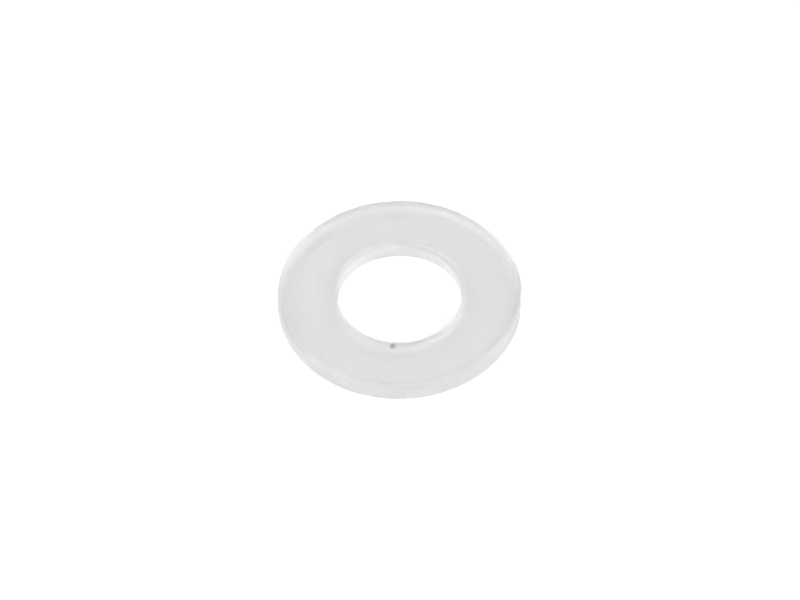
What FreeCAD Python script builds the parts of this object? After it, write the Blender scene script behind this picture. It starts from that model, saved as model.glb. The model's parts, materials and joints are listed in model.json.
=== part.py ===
"""Flat washer, moulded in one piece from natural nylon, for a quarter-inch or M6 screw.

Millimetres and degrees. +Z runs along the bore, and the origin is on the bore axis at the
lower bearing face. An azimuth is counted about +Z, from +X towards +Y.
"""

import FreeCAD
import Part
import os
import Sketcher

NODE = "flat_washer"
DIMENSIONS = [
    ("outer_diameter", 12.70, "across the rim"),
    ("bore_diameter", 6.48, "clearance hole for the screw"),
    ("thickness", 1.20, "from bearing face to bearing face"),
    ("edge_radius", 0.33, "rounding of all four circular edges"),
    ("gate_azimuth", 11.0, "middle of the gate's remains on the rim"),
    ("gate_width", 2.00, "size of the remains around the rim"),
    ("gate_height", 0.50, "size of the remains along the bore axis"),
    ("gate_proud", 0.06, "how far the remains stand out of the rim"),
    ("gate_root", 0.40, "how far they reach into the rim, so that both fuse"),
    ("trim_azimuth", -4.7, "middle of the flat that the gate cutter left"),
    ("trim_half_angle", 6.5, "half of the arc that the flat takes from the rim"),
    ("trim_reach", 1.00, "how far the cutter's path runs past the flat"),
    ("pit_azimuth", 264.0, "place of the pit on the upper face, beside the bore"),
    ("pit_from_axis", 3.68, "middle of the pit from the bore axis"),
    ("pit_ball_radius", 0.30, "radius of the ball that the pit is part of"),
    ("pit_depth", 0.04, "depth of the pit"),
]
LEAST_CHANGE = 1e-5  # mm3: a feature that changes the volume by less than this did nothing


def make_sheet(doc):
    """The driving dimensions, one row each: name, value, meaning."""
    sheet = doc.addObject("Spreadsheet::Sheet", "sheet")
    sheet.Label = "dimensions"
    for row, (alias, value, meaning) in enumerate(DIMENSIONS, start=1):
        sheet.set(f"A{row}", alias)
        sheet.set(f"B{row}", str(value))
        sheet.set(f"C{row}", meaning)
        sheet.setAlias(f"B{row}", alias)
    doc.recompute()
    return sheet


def origin_plane(body, role):
    """One of the body's own origin planes."""
    return next(plane for plane in body.Origin.OriginFeatures if plane.Role == role)


def add_sketch(body, name, role):
    """An empty sketch on one of the body's origin planes."""
    sketch = body.newObject("Sketcher::SketchObject", name)
    sketch.AttachmentSupport = [(origin_plane(body, role), "")]
    sketch.MapMode = "FlatFace"
    return sketch


def add_line(sketch, start, end):
    """A straight line between two points of the sketch plane. Returns its index."""
    return sketch.addGeometry(Part.LineSegment(FreeCAD.Vector(*start), FreeCAD.Vector(*end)))


def join_in_turn(sketch, edges):
    """Joins the end of each edge to the start of the next, and closes the outline."""
    for edge, following in zip(edges, edges[1:] + edges[:1]):
        sketch.addConstraint(Sketcher.Constraint("Coincident", edge, 2, following, 1))


def hold(sketch, kind, *elements):
    """A geometric constraint, such as Horizontal."""
    sketch.addConstraint(Sketcher.Constraint(kind, *elements))


def drive(sketch, expression, kind, *elements):
    """A dimension that an expression in the sheet's values drives."""
    index = sketch.addConstraint(Sketcher.Constraint(kind, *elements, 1.0))
    sketch.setExpression(f"Constraints[{index}]", expression)


def add_ring(body):
    """The blank: a rectangle beside the bore axis, revolved about it."""
    section = add_sketch(body, "ring_section", "XZ_Plane")
    lower = add_line(section, (3, 0), (6, 0))
    rim = add_line(section, (6, 0), (6, 1))
    upper = add_line(section, (6, 1), (3, 1))
    bore = add_line(section, (3, 1), (3, 0))
    join_in_turn(section, [lower, rim, upper, bore])
    hold(section, "Horizontal", upper)
    hold(section, "Vertical", rim)
    hold(section, "Vertical", bore)
    hold(section, "PointOnObject", lower, 1, -1)
    hold(section, "PointOnObject", lower, 2, -1)
    drive(section, "sheet.bore_diameter / 2", "DistanceX", -1, 1, lower, 1)
    drive(section, "sheet.outer_diameter / 2", "DistanceX", -1, 1, lower, 2)
    drive(section, "sheet.thickness", "DistanceY", rim, 1, rim, 2)
    ring = body.newObject("PartDesign::Revolution", "ring")
    ring.Profile = section
    ring.ReferenceAxis = (section, ["V_Axis"])
    ring.Angle = 360
    return ring


def add_edge_rounding(body, ring):
    """Rounds the four circles where the bearing faces meet the rim and the bore."""
    circles = [
        f"Edge{number}"
        for number, edge in enumerate(ring.Shape.Edges, start=1)
        if isinstance(edge.Curve, Part.Circle)
    ]
    rounding = body.newObject("PartDesign::Fillet", "edge_rounding")
    rounding.Base = (ring, circles)
    rounding.setExpression("Radius", "sheet.edge_radius")
    return rounding


def add_trim_flat(body):
    """The flat that the gate cutter left on the rim, a chord sliced off square to the faces."""
    path = add_sketch(body, "trim_path", "XY_Plane")
    path.setExpression("AttachmentOffset.Rotation.Angle", "sheet.trim_azimuth")
    chord = add_line(path, (6, 1), (6, -1))
    right_side = add_line(path, (6, -1), (7, -1))
    outside = add_line(path, (7, -1), (7, 1))
    left_side = add_line(path, (7, 1), (6, 1))
    join_in_turn(path, [chord, right_side, outside, left_side])
    hold(path, "Horizontal", right_side)
    hold(path, "Horizontal", left_side)
    hold(path, "Vertical", outside)
    hold(path, "Symmetric", chord, 1, chord, 2, -1)
    rim_radius = "sheet.outer_diameter / 2"
    drive(path, f"{rim_radius} * cos(sheet.trim_half_angle)", "DistanceX", -1, 1, chord, 1)
    drive(path, "sheet.trim_reach", "DistanceX", right_side, 1, right_side, 2)
    drive(path, "sheet.trim_reach * 2", "DistanceY", chord, 2, chord, 1)
    flat = body.newObject("PartDesign::Pocket", "trim_flat")
    flat.Profile = path
    flat.Type = "ThroughAll"
    flat.Reversed = True
    return flat


def add_gate_remains(body):
    """The stub that is left of the gate: a low tab on the rim, halfway up."""
    outline = add_sketch(body, "gate_outline", "XY_Plane")
    outline.setExpression("AttachmentOffset.Rotation.Angle", "sheet.gate_azimuth")
    outline.setExpression("AttachmentOffset.Base.z", "sheet.thickness / 2")
    root = add_line(outline, (6, 1), (6, -1))
    right_side = add_line(outline, (6, -1), (6.4, -1))
    circle = Part.Circle(FreeCAD.Vector(0, 0, 0), FreeCAD.Vector(0, 0, 1), 6.5)
    crest = outline.addGeometry(Part.ArcOfCircle(circle, -0.15, 0.15))
    left_side = add_line(outline, (6.4, 1), (6, 1))
    join_in_turn(outline, [root, right_side, crest, left_side])
    hold(outline, "Coincident", crest, 3, -1, 1)
    hold(outline, "Horizontal", right_side)
    hold(outline, "Horizontal", left_side)
    hold(outline, "Symmetric", root, 1, root, 2, -1)
    rim_radius = "sheet.outer_diameter / 2"
    drive(outline, f"{rim_radius} + sheet.gate_proud", "Radius", crest)
    drive(outline, f"{rim_radius} - sheet.gate_root", "DistanceX", -1, 1, root, 1)
    drive(outline, "sheet.gate_width", "DistanceY", root, 2, root, 1)
    remains = body.newObject("PartDesign::Pad", "gate_remains")
    remains.Profile = outline
    remains.SideType = "Symmetric"
    remains.setExpression("Length", "sheet.gate_height")
    return remains


def add_pit(body):
    """A shallow round pit in the upper face, beside the rounding of the bore's edge."""
    pit = body.newObject("PartDesign::SubtractiveSphere", "pit")
    pit.AttachmentSupport = [(origin_plane(body, "XY_Plane"), "")]
    pit.MapMode = "FlatFace"
    pit.setExpression("Radius", "sheet.pit_ball_radius")
    above_base = "sheet.thickness - sheet.pit_depth + sheet.pit_ball_radius"
    pit.setExpression("AttachmentOffset.Base.x", "sheet.pit_from_axis * cos(sheet.pit_azimuth)")
    pit.setExpression("AttachmentOffset.Base.y", "sheet.pit_from_axis * sin(sheet.pit_azimuth)")
    pit.setExpression("AttachmentOffset.Base.z", above_base)
    return pit


def make_washer(doc):
    """The washer's body: ring, rounding, trim flat, gate remains and pit, in that order."""
    body = doc.addObject("PartDesign::Body", NODE)
    body.Label = NODE
    doc.recompute()
    ring = add_ring(body)
    doc.recompute()
    steps = [ring, add_edge_rounding(body, ring)]
    doc.recompute()
    for add_feature in (add_trim_flat, add_gate_remains, add_pit):
        steps.append(add_feature(body))
        doc.recompute()
    signs = {"edge_rounding": -1, "trim_flat": -1, "gate_remains": 1, "pit": -1}
    for before, after in zip(steps, steps[1:]):
        change = after.Shape.Volume - before.Shape.Volume
        print(f"{after.Name}: volume changes by {change:.5f} mm3")
        if change * signs[after.Name] < LEAST_CHANGE:
            raise RuntimeError(f"{after.Name} changed the volume the wrong way, or not at all")
    return body


def check_document(doc):
    """Stops if any object of the document failed, since recompute() doesn't say so."""
    for item in doc.Objects:
        if "Invalid" in item.State or "Error" in item.State:
            raise RuntimeError(f"{item.Name} failed: {item.State}")


def check_shape(body):
    """Stops unless the body holds one valid solid, and prints its size."""
    shape = body.Shape
    if shape.isNull() or not shape.isValid() or len(shape.Solids) != 1:
        raise RuntimeError(f"{body.Label} isn't one valid solid")
    box = shape.optimalBoundingBox()
    print(f"{body.Label}: {box.XLength:.3f} x {box.YLength:.3f} x {box.ZLength:.3f} mm")
    print(f"{body.Label}: {shape.Volume:.3f} mm3")


doc = FreeCAD.newDocument("flat_washer_model")
make_sheet(doc)
washer = make_washer(doc)
check_document(doc)
check_shape(washer)
os.makedirs("parts", exist_ok=True)
washer.Shape.exportStep(f"parts/{washer.Label}.step")
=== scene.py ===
"""Looks of the flat washer: one moulded ring of natural nylon on a pale floor, in soft studio light.

Metres, in the CAD frame: +Z runs along the bore, and the washer stands on z = 0. An azimuth is
counted about +Z from +X towards +Y, and an elevation up from the floor.
"""

import json
import math

import bpy
from mathutils import Matrix, Vector


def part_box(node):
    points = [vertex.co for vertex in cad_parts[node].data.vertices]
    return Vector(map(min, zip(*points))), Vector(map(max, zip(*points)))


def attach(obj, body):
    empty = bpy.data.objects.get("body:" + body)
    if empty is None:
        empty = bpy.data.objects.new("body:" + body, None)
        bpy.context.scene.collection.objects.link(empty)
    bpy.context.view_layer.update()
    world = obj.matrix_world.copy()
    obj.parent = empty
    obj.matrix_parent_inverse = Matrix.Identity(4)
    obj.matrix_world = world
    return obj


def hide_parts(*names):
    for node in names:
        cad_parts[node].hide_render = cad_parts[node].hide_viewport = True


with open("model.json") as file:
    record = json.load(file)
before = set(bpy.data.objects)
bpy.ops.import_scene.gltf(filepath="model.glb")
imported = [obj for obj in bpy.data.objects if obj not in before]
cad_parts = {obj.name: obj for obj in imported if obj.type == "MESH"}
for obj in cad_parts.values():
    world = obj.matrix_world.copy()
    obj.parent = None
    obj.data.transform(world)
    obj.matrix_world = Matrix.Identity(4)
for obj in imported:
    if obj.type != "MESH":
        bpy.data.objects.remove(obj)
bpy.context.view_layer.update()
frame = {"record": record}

MM = 0.001

# Sizes of the washer, all from the CAD frame
low_corner, high_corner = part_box("flat_washer")
bore_mount = next(mount for mount in frame["record"]["mounts"] if mount["name"] == "bore")
RIM_RADIUS = high_corner.y
THICKNESS = high_corner.z
BORE_RADIUS = bore_mount["dims"]["r_mm"] * MM
EDGE_RADIUS = (THICKNESS - bore_mount["dims"]["length_mm"] * MM) / 2

# Marks left by moulding, as in the CAD part
GATE_AZIMUTH = math.radians(11.0)
GATE_WIDTH = 2.0 * MM
GATE_HEIGHT = 0.5 * MM
GATE_PROUD = high_corner.x - RIM_RADIUS
GATE_BLUR = 0.04 * MM  # how softly the remains rise out of the rim
TRIM_AZIMUTH = math.radians(-4.7)
TRIM_HALF_ANGLE = math.radians(6.5)
PIT_AZIMUTH = math.radians(264.0)
PIT_FROM_AXIS = 3.68 * MM
PIT_BALL_RADIUS = 0.30 * MM
PIT_DEPTH = 0.04 * MM

# Fineness of the mesh
SECTORS = 576
FACE_STEPS = 24
ROUND_STEPS = 12
WALL_STEPS = 12

# Nylon: pale and faintly blue, clouded and finely speckled, with a satin moulded skin
NYLON_COLOR = (0.942, 0.960, 0.983, 1)
NYLON_CLOUD_COLOR = (0.912, 0.936, 0.968, 1)
NYLON_SPECK_COLOR = (0.856, 0.875, 0.905, 1)
NYLON_IOR = 1.53
NYLON_TRANSMISSION = 0.9
HAZE_DENSITY = 400.0  # scatterings per metre
HAZE_COLOR = (0.97, 0.98, 1.0, 1)
HAZE_FORWARD = 0.8
SKIN_ROUGHNESS = (0.33, 0.39)  # least and most
CLOUD_PER_MM = 0.45
SPECK_PER_MM = 5.0
SPECK_SPAN = (0.38, 0.62)  # noise from where a speck starts to where it is full
SPECK_SHARE = 0.65
GRAIN_PER_MM = 9.0
GRAIN_SPAN = (0.3, 0.7)  # noise over which the roughness changes
GRAIN_DEPTH = 0.0015 * MM
RIPPLE_PER_MM = 1.4
RIPPLE_DEPTH = 0.002 * MM

# A colour mix node's share and two colours, and its result, by index, as their names repeat
MIX_COLOR_INPUTS = (0, 6, 7)
MIX_COLOR_OUTPUT = 2

# Where the stains in the skin lie: in the pit, on the rounding of the bore's upper edge, and
# where the rim's rounding runs into its wall. Each is a radius and a height.
IN_PIT = (PIT_FROM_AXIS, THICKNESS - PIT_DEPTH)
UP_THE_ROUND = math.radians(32)
BORE_EDGE = (
    BORE_RADIUS + EDGE_RADIUS * (1 - math.cos(UP_THE_ROUND)),
    THICKNESS - EDGE_RADIUS * (1 - math.sin(UP_THE_ROUND)),
)
RIM_EDGE = (RIM_RADIUS, THICKNESS - EDGE_RADIUS)
STAINS = [
    # azimuth in degrees, place, radius in mm, colour, strength
    (264.0, IN_PIT, 0.25, (0.36, 0.22, 0.18, 1), 0.85),
    (234.3, RIM_EDGE, 0.18, (0.85, 0.66, 0.45, 1), 0.5),
    (96.6, BORE_EDGE, 0.12, (0.60, 0.60, 0.62, 1), 0.35),
    (108.6, BORE_EDGE, 0.22, (0.90, 0.85, 0.66, 1), 0.4),
]
STAIN_CORE = 0.25  # share of a stain's radius that has its full strength

# Camera: a long lens far away, a little over half way up from the floor
CAMERA_ELEVATION = math.radians(50.61)
CAMERA_DISTANCE = 59.5 * RIM_RADIUS
CAMERA_ROLL = math.radians(-0.9)
CLIP_FACTOR = 100
PICTURE_WIDTH = 6.566 * RIM_RADIUS  # at the washer
SENSOR_WIDTH_MM = 36.0
AIM_RIGHT = 0.0031 * RIM_RADIUS
AIM_UP = -0.0101 * RIM_RADIUS

# Studio: soft boxes on a wide dome, all square and of one size, in five groups of one strength
# each. The amber pair is low, at the right and the front left, and the cool pair high in front.
LIGHT_DISTANCE = 300 * RIM_RADIUS
LIGHT_SIZE = 140 * RIM_RADIUS
LOW = 14  # elevations in degrees
HIGH = 42
AMBER = (1, 0.8, 0.5)
CREAM = (1, 0.9, 0.8)
PALE = (0.9, 0.95, 1)
COOL = (0.75, 0.85, 1)
SOFT_BOXES = [
    # azimuths in degrees, elevation, radiance, colour
    ((0, 210), LOW, 4, AMBER),
    ((60, 120), LOW, 4, PALE),
    ((90, 135), HIGH, 2, CREAM),
    ((0, 180, 315), HIGH, 6, CREAM),
    ((225, 270), HIGH, 4, COOL),
]
SKY_COLOR = (0.80, 0.90, 1, 1)
SKY_STRENGTH = 0.02
BACKDROP_COLOR = (1, 1, 1, 1)
FLOOR_COLOR = (0.92, 0.92, 0.92, 1)
FLOOR_ROUGHNESS = 0.9
FLOOR_GLOW_COLOR = (0.75, 0.85, 1, 1)
FLOOR_GLOW = 0.1  # the floor glows a little, which fills the washer's shadow
FLOOR_HALF_SIZE = 150 * RIM_RADIUS
FLOOR_GAP = 0.02 * MM  # keeps the floor clear of the washer's lower face


def blend(low, high, value):
    """0 below low, 1 above high, and a smooth step between."""
    share = min(max((value - low) / (high - low), 0), 1)
    return share * share * (3 - 2 * share)


def on_circle(radius, azimuth, height):
    """The point at this radius, azimuth in radians and height."""
    return Vector((radius * math.cos(azimuth), radius * math.sin(azimuth), height))


def ring_section():
    """The ring's outline in its own half-plane: (radius, height) pairs, anticlockwise."""
    points = []
    inner = BORE_RADIUS + EDGE_RADIUS
    outer = RIM_RADIUS - EDGE_RADIUS
    upper = THICKNESS - EDGE_RADIUS

    def straight(start, end, steps):
        for step in range(steps):
            share = step / steps
            radius = start[0] + (end[0] - start[0]) * share
            height = start[1] + (end[1] - start[1]) * share
            points.append((radius, height))

    def quarter_round(centre, start_angle):
        for step in range(ROUND_STEPS):
            angle = start_angle + math.pi / 2 * step / ROUND_STEPS
            radius = centre[0] + EDGE_RADIUS * math.cos(angle)
            height = centre[1] + EDGE_RADIUS * math.sin(angle)
            points.append((radius, height))

    straight((inner, 0), (outer, 0), FACE_STEPS)
    quarter_round((outer, EDGE_RADIUS), -math.pi / 2)
    straight((RIM_RADIUS, EDGE_RADIUS), (RIM_RADIUS, upper), WALL_STEPS)
    quarter_round((outer, upper), 0)
    straight((outer, THICKNESS), (inner, THICKNESS), FACE_STEPS)
    quarter_round((inner, upper), math.pi / 2)
    straight((BORE_RADIUS, upper), (BORE_RADIUS, EDGE_RADIUS), WALL_STEPS)
    quarter_round((inner, EDGE_RADIUS), math.pi)
    return points


def raise_gate(point):
    """Lifts a point of the rim to the face of the gate's remains."""
    radius = point.xy.length
    around = math.remainder(math.atan2(point.y, point.x) - GATE_AZIMUTH, 2 * math.pi) * radius
    if radius < RIM_RADIUS - EDGE_RADIUS / 2:
        return
    half_width = GATE_WIDTH / 2
    half_height = GATE_HEIGHT / 2
    beside = blend(half_width - GATE_BLUR, half_width + GATE_BLUR, abs(around))
    above = blend(half_height - GATE_BLUR, half_height + GATE_BLUR, abs(point.z - THICKNESS / 2))
    lift = (RIM_RADIUS + GATE_PROUD - radius) * (1 - beside) * (1 - above)
    point.xy *= (radius + lift) / radius


def cut_trim(point):
    """Brings a point beyond the trim flat back to it."""
    outward = on_circle(1, TRIM_AZIMUTH, 0)
    beyond = outward.dot(point) - RIM_RADIUS * math.cos(TRIM_HALF_ANGLE)
    if beyond > 0:
        point -= outward * beyond


def press_pit(point):
    """Pushes a point that is inside the pit's ball straight down, on to the ball."""
    centre = on_circle(PIT_FROM_AXIS, PIT_AZIMUTH, THICKNESS - PIT_DEPTH + PIT_BALL_RADIUS)
    away = point - centre
    if away.length < PIT_BALL_RADIUS:
        point.z = centre.z - math.sqrt(PIT_BALL_RADIUS ** 2 - away.xy.length_squared)


def make_washer():
    """The ring, swept around the bore axis, with its moulding marks worked in."""
    section = ring_section()
    count = len(section)
    vertices = []
    for sector in range(SECTORS):
        azimuth = 2 * math.pi * sector / SECTORS
        for radius, height in section:
            point = on_circle(radius, azimuth, height)
            raise_gate(point)
            cut_trim(point)
            press_pit(point)
            vertices.append(point)
    faces = []
    for sector in range(SECTORS):
        here = sector * count
        beside = (sector + 1) % SECTORS * count
        for index in range(count):
            after = (index + 1) % count
            faces.append((here + index, beside + index, beside + after, here + after))
    mesh = bpy.data.meshes.new("washer_ring")
    mesh.from_pydata(vertices, [], faces)
    mesh.shade_smooth()
    washer = bpy.data.objects.new("washer_ring", mesh)
    bpy.context.scene.collection.objects.link(washer)
    return washer


def add_noise(tree, place, per_mm, detail):
    """Noise with so many features to the millimetre."""
    noise = tree.nodes.new("ShaderNodeTexNoise")
    noise.inputs["Scale"].default_value = per_mm
    noise.inputs["Detail"].default_value = detail
    tree.links.new(place, noise.inputs["Vector"])
    return noise.outputs["Fac"]


def add_range(tree, value, low, high, to_low, to_high):
    """Maps the range low..high smoothly to to_low..to_high."""
    node = tree.nodes.new("ShaderNodeMapRange")
    node.interpolation_type = "SMOOTHSTEP"
    node.inputs["From Min"].default_value = low
    node.inputs["From Max"].default_value = high
    node.inputs["To Min"].default_value = to_low
    node.inputs["To Max"].default_value = to_high
    tree.links.new(value, node.inputs["Value"])
    return node.outputs["Result"]


def add_mix(tree, share, first, second):
    """Mixes a colour, or a colour output, with a second colour by this share."""
    node = tree.nodes.new("ShaderNodeMix")
    node.data_type = "RGBA"
    factor, a, b = (node.inputs[index] for index in MIX_COLOR_INPUTS)
    tree.links.new(share, factor)
    if isinstance(first, tuple):
        a.default_value = first
    else:
        tree.links.new(first, a)
    b.default_value = second
    return node.outputs[MIX_COLOR_OUTPUT]


def add_bump(tree, height, depth, normal):
    """Relief of this depth, on top of an earlier normal if there is one."""
    bump = tree.nodes.new("ShaderNodeBump")
    bump.inputs["Distance"].default_value = depth
    tree.links.new(height, bump.inputs["Height"])
    if normal:
        tree.links.new(normal, bump.inputs["Normal"])
    return bump.outputs["Normal"]


def add_stain(tree, place, azimuth, ring, radius_mm, strength):
    """How much of a round stain there is at each point, from 0 to its strength."""
    centre = on_circle(ring[0], math.radians(azimuth), ring[1]) / MM
    distance = tree.nodes.new("ShaderNodeVectorMath")
    distance.operation = "DISTANCE"
    distance.inputs[1].default_value = centre
    tree.links.new(place, distance.inputs[0])
    return add_range(tree, distance.outputs["Value"], radius_mm * STAIN_CORE, radius_mm, strength, 0)


def make_nylon():
    """Clouded, speckled, translucent nylon, with a satin skin and a few stains."""
    material = bpy.data.materials.new("natural_nylon")
    material.use_nodes = True
    tree = material.node_tree
    shader = tree.nodes["Principled BSDF"]
    shader.inputs["IOR"].default_value = NYLON_IOR
    shader.inputs["Transmission Weight"].default_value = NYLON_TRANSMISSION

    coordinates = tree.nodes.new("ShaderNodeTexCoord")
    millimetres = tree.nodes.new("ShaderNodeVectorMath")
    millimetres.operation = "SCALE"
    millimetres.inputs["Scale"].default_value = 1 / MM
    tree.links.new(coordinates.outputs["Object"], millimetres.inputs[0])
    place = millimetres.outputs["Vector"]

    cloud = add_noise(tree, place, CLOUD_PER_MM, 3)
    color = add_mix(tree, cloud, NYLON_COLOR, NYLON_CLOUD_COLOR)
    speck = add_range(tree, add_noise(tree, place, SPECK_PER_MM, 2), *SPECK_SPAN, 0, SPECK_SHARE)
    color = add_mix(tree, speck, color, NYLON_SPECK_COLOR)
    for azimuth, ring, radius_mm, stain_color, strength in STAINS:
        stain = add_stain(tree, place, azimuth, ring, radius_mm, strength)
        color = add_mix(tree, stain, color, stain_color)
    tree.links.new(color, shader.inputs["Base Color"])

    ripple = add_noise(tree, place, RIPPLE_PER_MM, 2)
    grain = add_noise(tree, place, GRAIN_PER_MM, 3)
    roughness = add_range(tree, grain, *GRAIN_SPAN, *SKIN_ROUGHNESS)
    tree.links.new(roughness, shader.inputs["Roughness"])
    normal = add_bump(tree, ripple, RIPPLE_DEPTH, None)
    normal = add_bump(tree, grain, GRAIN_DEPTH, normal)
    tree.links.new(normal, shader.inputs["Normal"])

    haze = tree.nodes.new("ShaderNodeVolumeScatter")
    haze.inputs["Color"].default_value = HAZE_COLOR
    haze.inputs["Density"].default_value = HAZE_DENSITY
    haze.inputs["Anisotropy"].default_value = HAZE_FORWARD
    tree.links.new(haze.outputs["Volume"], tree.nodes["Material Output"].inputs["Volume"])
    return material


def make_floor():
    """A plain pale floor."""
    half = FLOOR_HALF_SIZE
    corners = [(x, y, -FLOOR_GAP) for x, y in ((-half, -half), (half, -half), (half, half), (-half, half))]
    mesh = bpy.data.meshes.new("floor")
    mesh.from_pydata(corners, [], [(0, 1, 2, 3)])
    floor = bpy.data.objects.new("floor", mesh)
    bpy.context.scene.collection.objects.link(floor)
    material = bpy.data.materials.new("floor")
    material.use_nodes = True
    shader = material.node_tree.nodes["Principled BSDF"]
    shader.inputs["Base Color"].default_value = FLOOR_COLOR
    shader.inputs["Roughness"].default_value = FLOOR_ROUGHNESS
    shader.inputs["Specular IOR Level"].default_value = 0
    shader.inputs["Emission Color"].default_value = FLOOR_GLOW_COLOR
    shader.inputs["Emission Strength"].default_value = FLOOR_GLOW
    mesh.materials.append(material)
    return floor


def add_light(name, azimuth, elevation, radiance, color):
    """A soft box on the dome, facing the washer and unseen by the camera."""
    light = bpy.data.lights.new(name, "AREA")
    light.size = LIGHT_SIZE
    light.energy = radiance * math.pi * LIGHT_SIZE ** 2
    light.color = color
    level = math.cos(math.radians(elevation))
    direction = on_circle(level, math.radians(azimuth), math.sin(math.radians(elevation)))
    box = bpy.data.objects.new(name, light)
    box.location = direction * LIGHT_DISTANCE
    box.rotation_euler = direction.to_track_quat("Z", "Y").to_euler()
    box.visible_camera = False
    bpy.context.scene.collection.objects.link(box)


def make_world():
    """Dim light from all around, behind a white backdrop that only the camera sees."""
    world = bpy.data.worlds.new("studio")
    world.use_nodes = True
    tree = world.node_tree
    sky = tree.nodes["Background"]
    sky.inputs["Color"].default_value = SKY_COLOR
    sky.inputs["Strength"].default_value = SKY_STRENGTH
    backdrop = tree.nodes.new("ShaderNodeBackground")
    backdrop.inputs["Color"].default_value = BACKDROP_COLOR
    path = tree.nodes.new("ShaderNodeLightPath")
    mix = tree.nodes.new("ShaderNodeMixShader")
    tree.links.new(path.outputs["Is Camera Ray"], mix.inputs["Fac"])
    tree.links.new(sky.outputs["Background"], mix.inputs[1])
    tree.links.new(backdrop.outputs["Background"], mix.inputs[2])
    tree.links.new(mix.outputs["Shader"], tree.nodes["World Output"].inputs["Surface"])
    bpy.context.scene.world = world


def make_camera():
    """The camera, aimed a shade off the washer's centre and slightly rolled."""
    back = Vector((0, -math.cos(CAMERA_ELEVATION), math.sin(CAMERA_ELEVATION)))
    right = Vector((1, 0, 0))
    up = back.cross(right)
    centre = Vector((0, 0, THICKNESS / 2))
    aim = centre + right * AIM_RIGHT + up * AIM_UP
    axes = Matrix((right, up, back)).transposed()
    roll = Matrix.Rotation(CAMERA_ROLL, 3, back)

    lens = bpy.data.cameras.new("camera")
    lens.sensor_width = SENSOR_WIDTH_MM
    lens.lens = SENSOR_WIDTH_MM * CAMERA_DISTANCE / PICTURE_WIDTH
    lens.clip_start = CAMERA_DISTANCE / CLIP_FACTOR
    lens.clip_end = CAMERA_DISTANCE * CLIP_FACTOR
    camera = bpy.data.objects.new("camera", lens)
    camera.matrix_world = Matrix.Translation(aim + back * CAMERA_DISTANCE) @ (roll @ axes).to_4x4()
    bpy.context.scene.collection.objects.link(camera)
    bpy.context.scene.camera = camera


def set_light_paths():
    """Enough bounces for light to wander through the nylon, and plain colours."""
    scene = bpy.context.scene
    scene.view_settings.view_transform = "Standard"
    scene.cycles.max_bounces = 32
    scene.cycles.transmission_bounces = 24
    scene.cycles.volume_bounces = 16
    scene.cycles.diffuse_bounces = 8


washer = make_washer()
washer.data.materials.append(make_nylon())
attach(washer, "root")
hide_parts("flat_washer")

floor = make_floor()
for azimuths, elevation, radiance, color in SOFT_BOXES:
    for azimuth in azimuths:
        add_light("soft_box_%d_%d" % (elevation, azimuth), azimuth, elevation, radiance, color)
make_world()
make_camera()
set_light_paths()
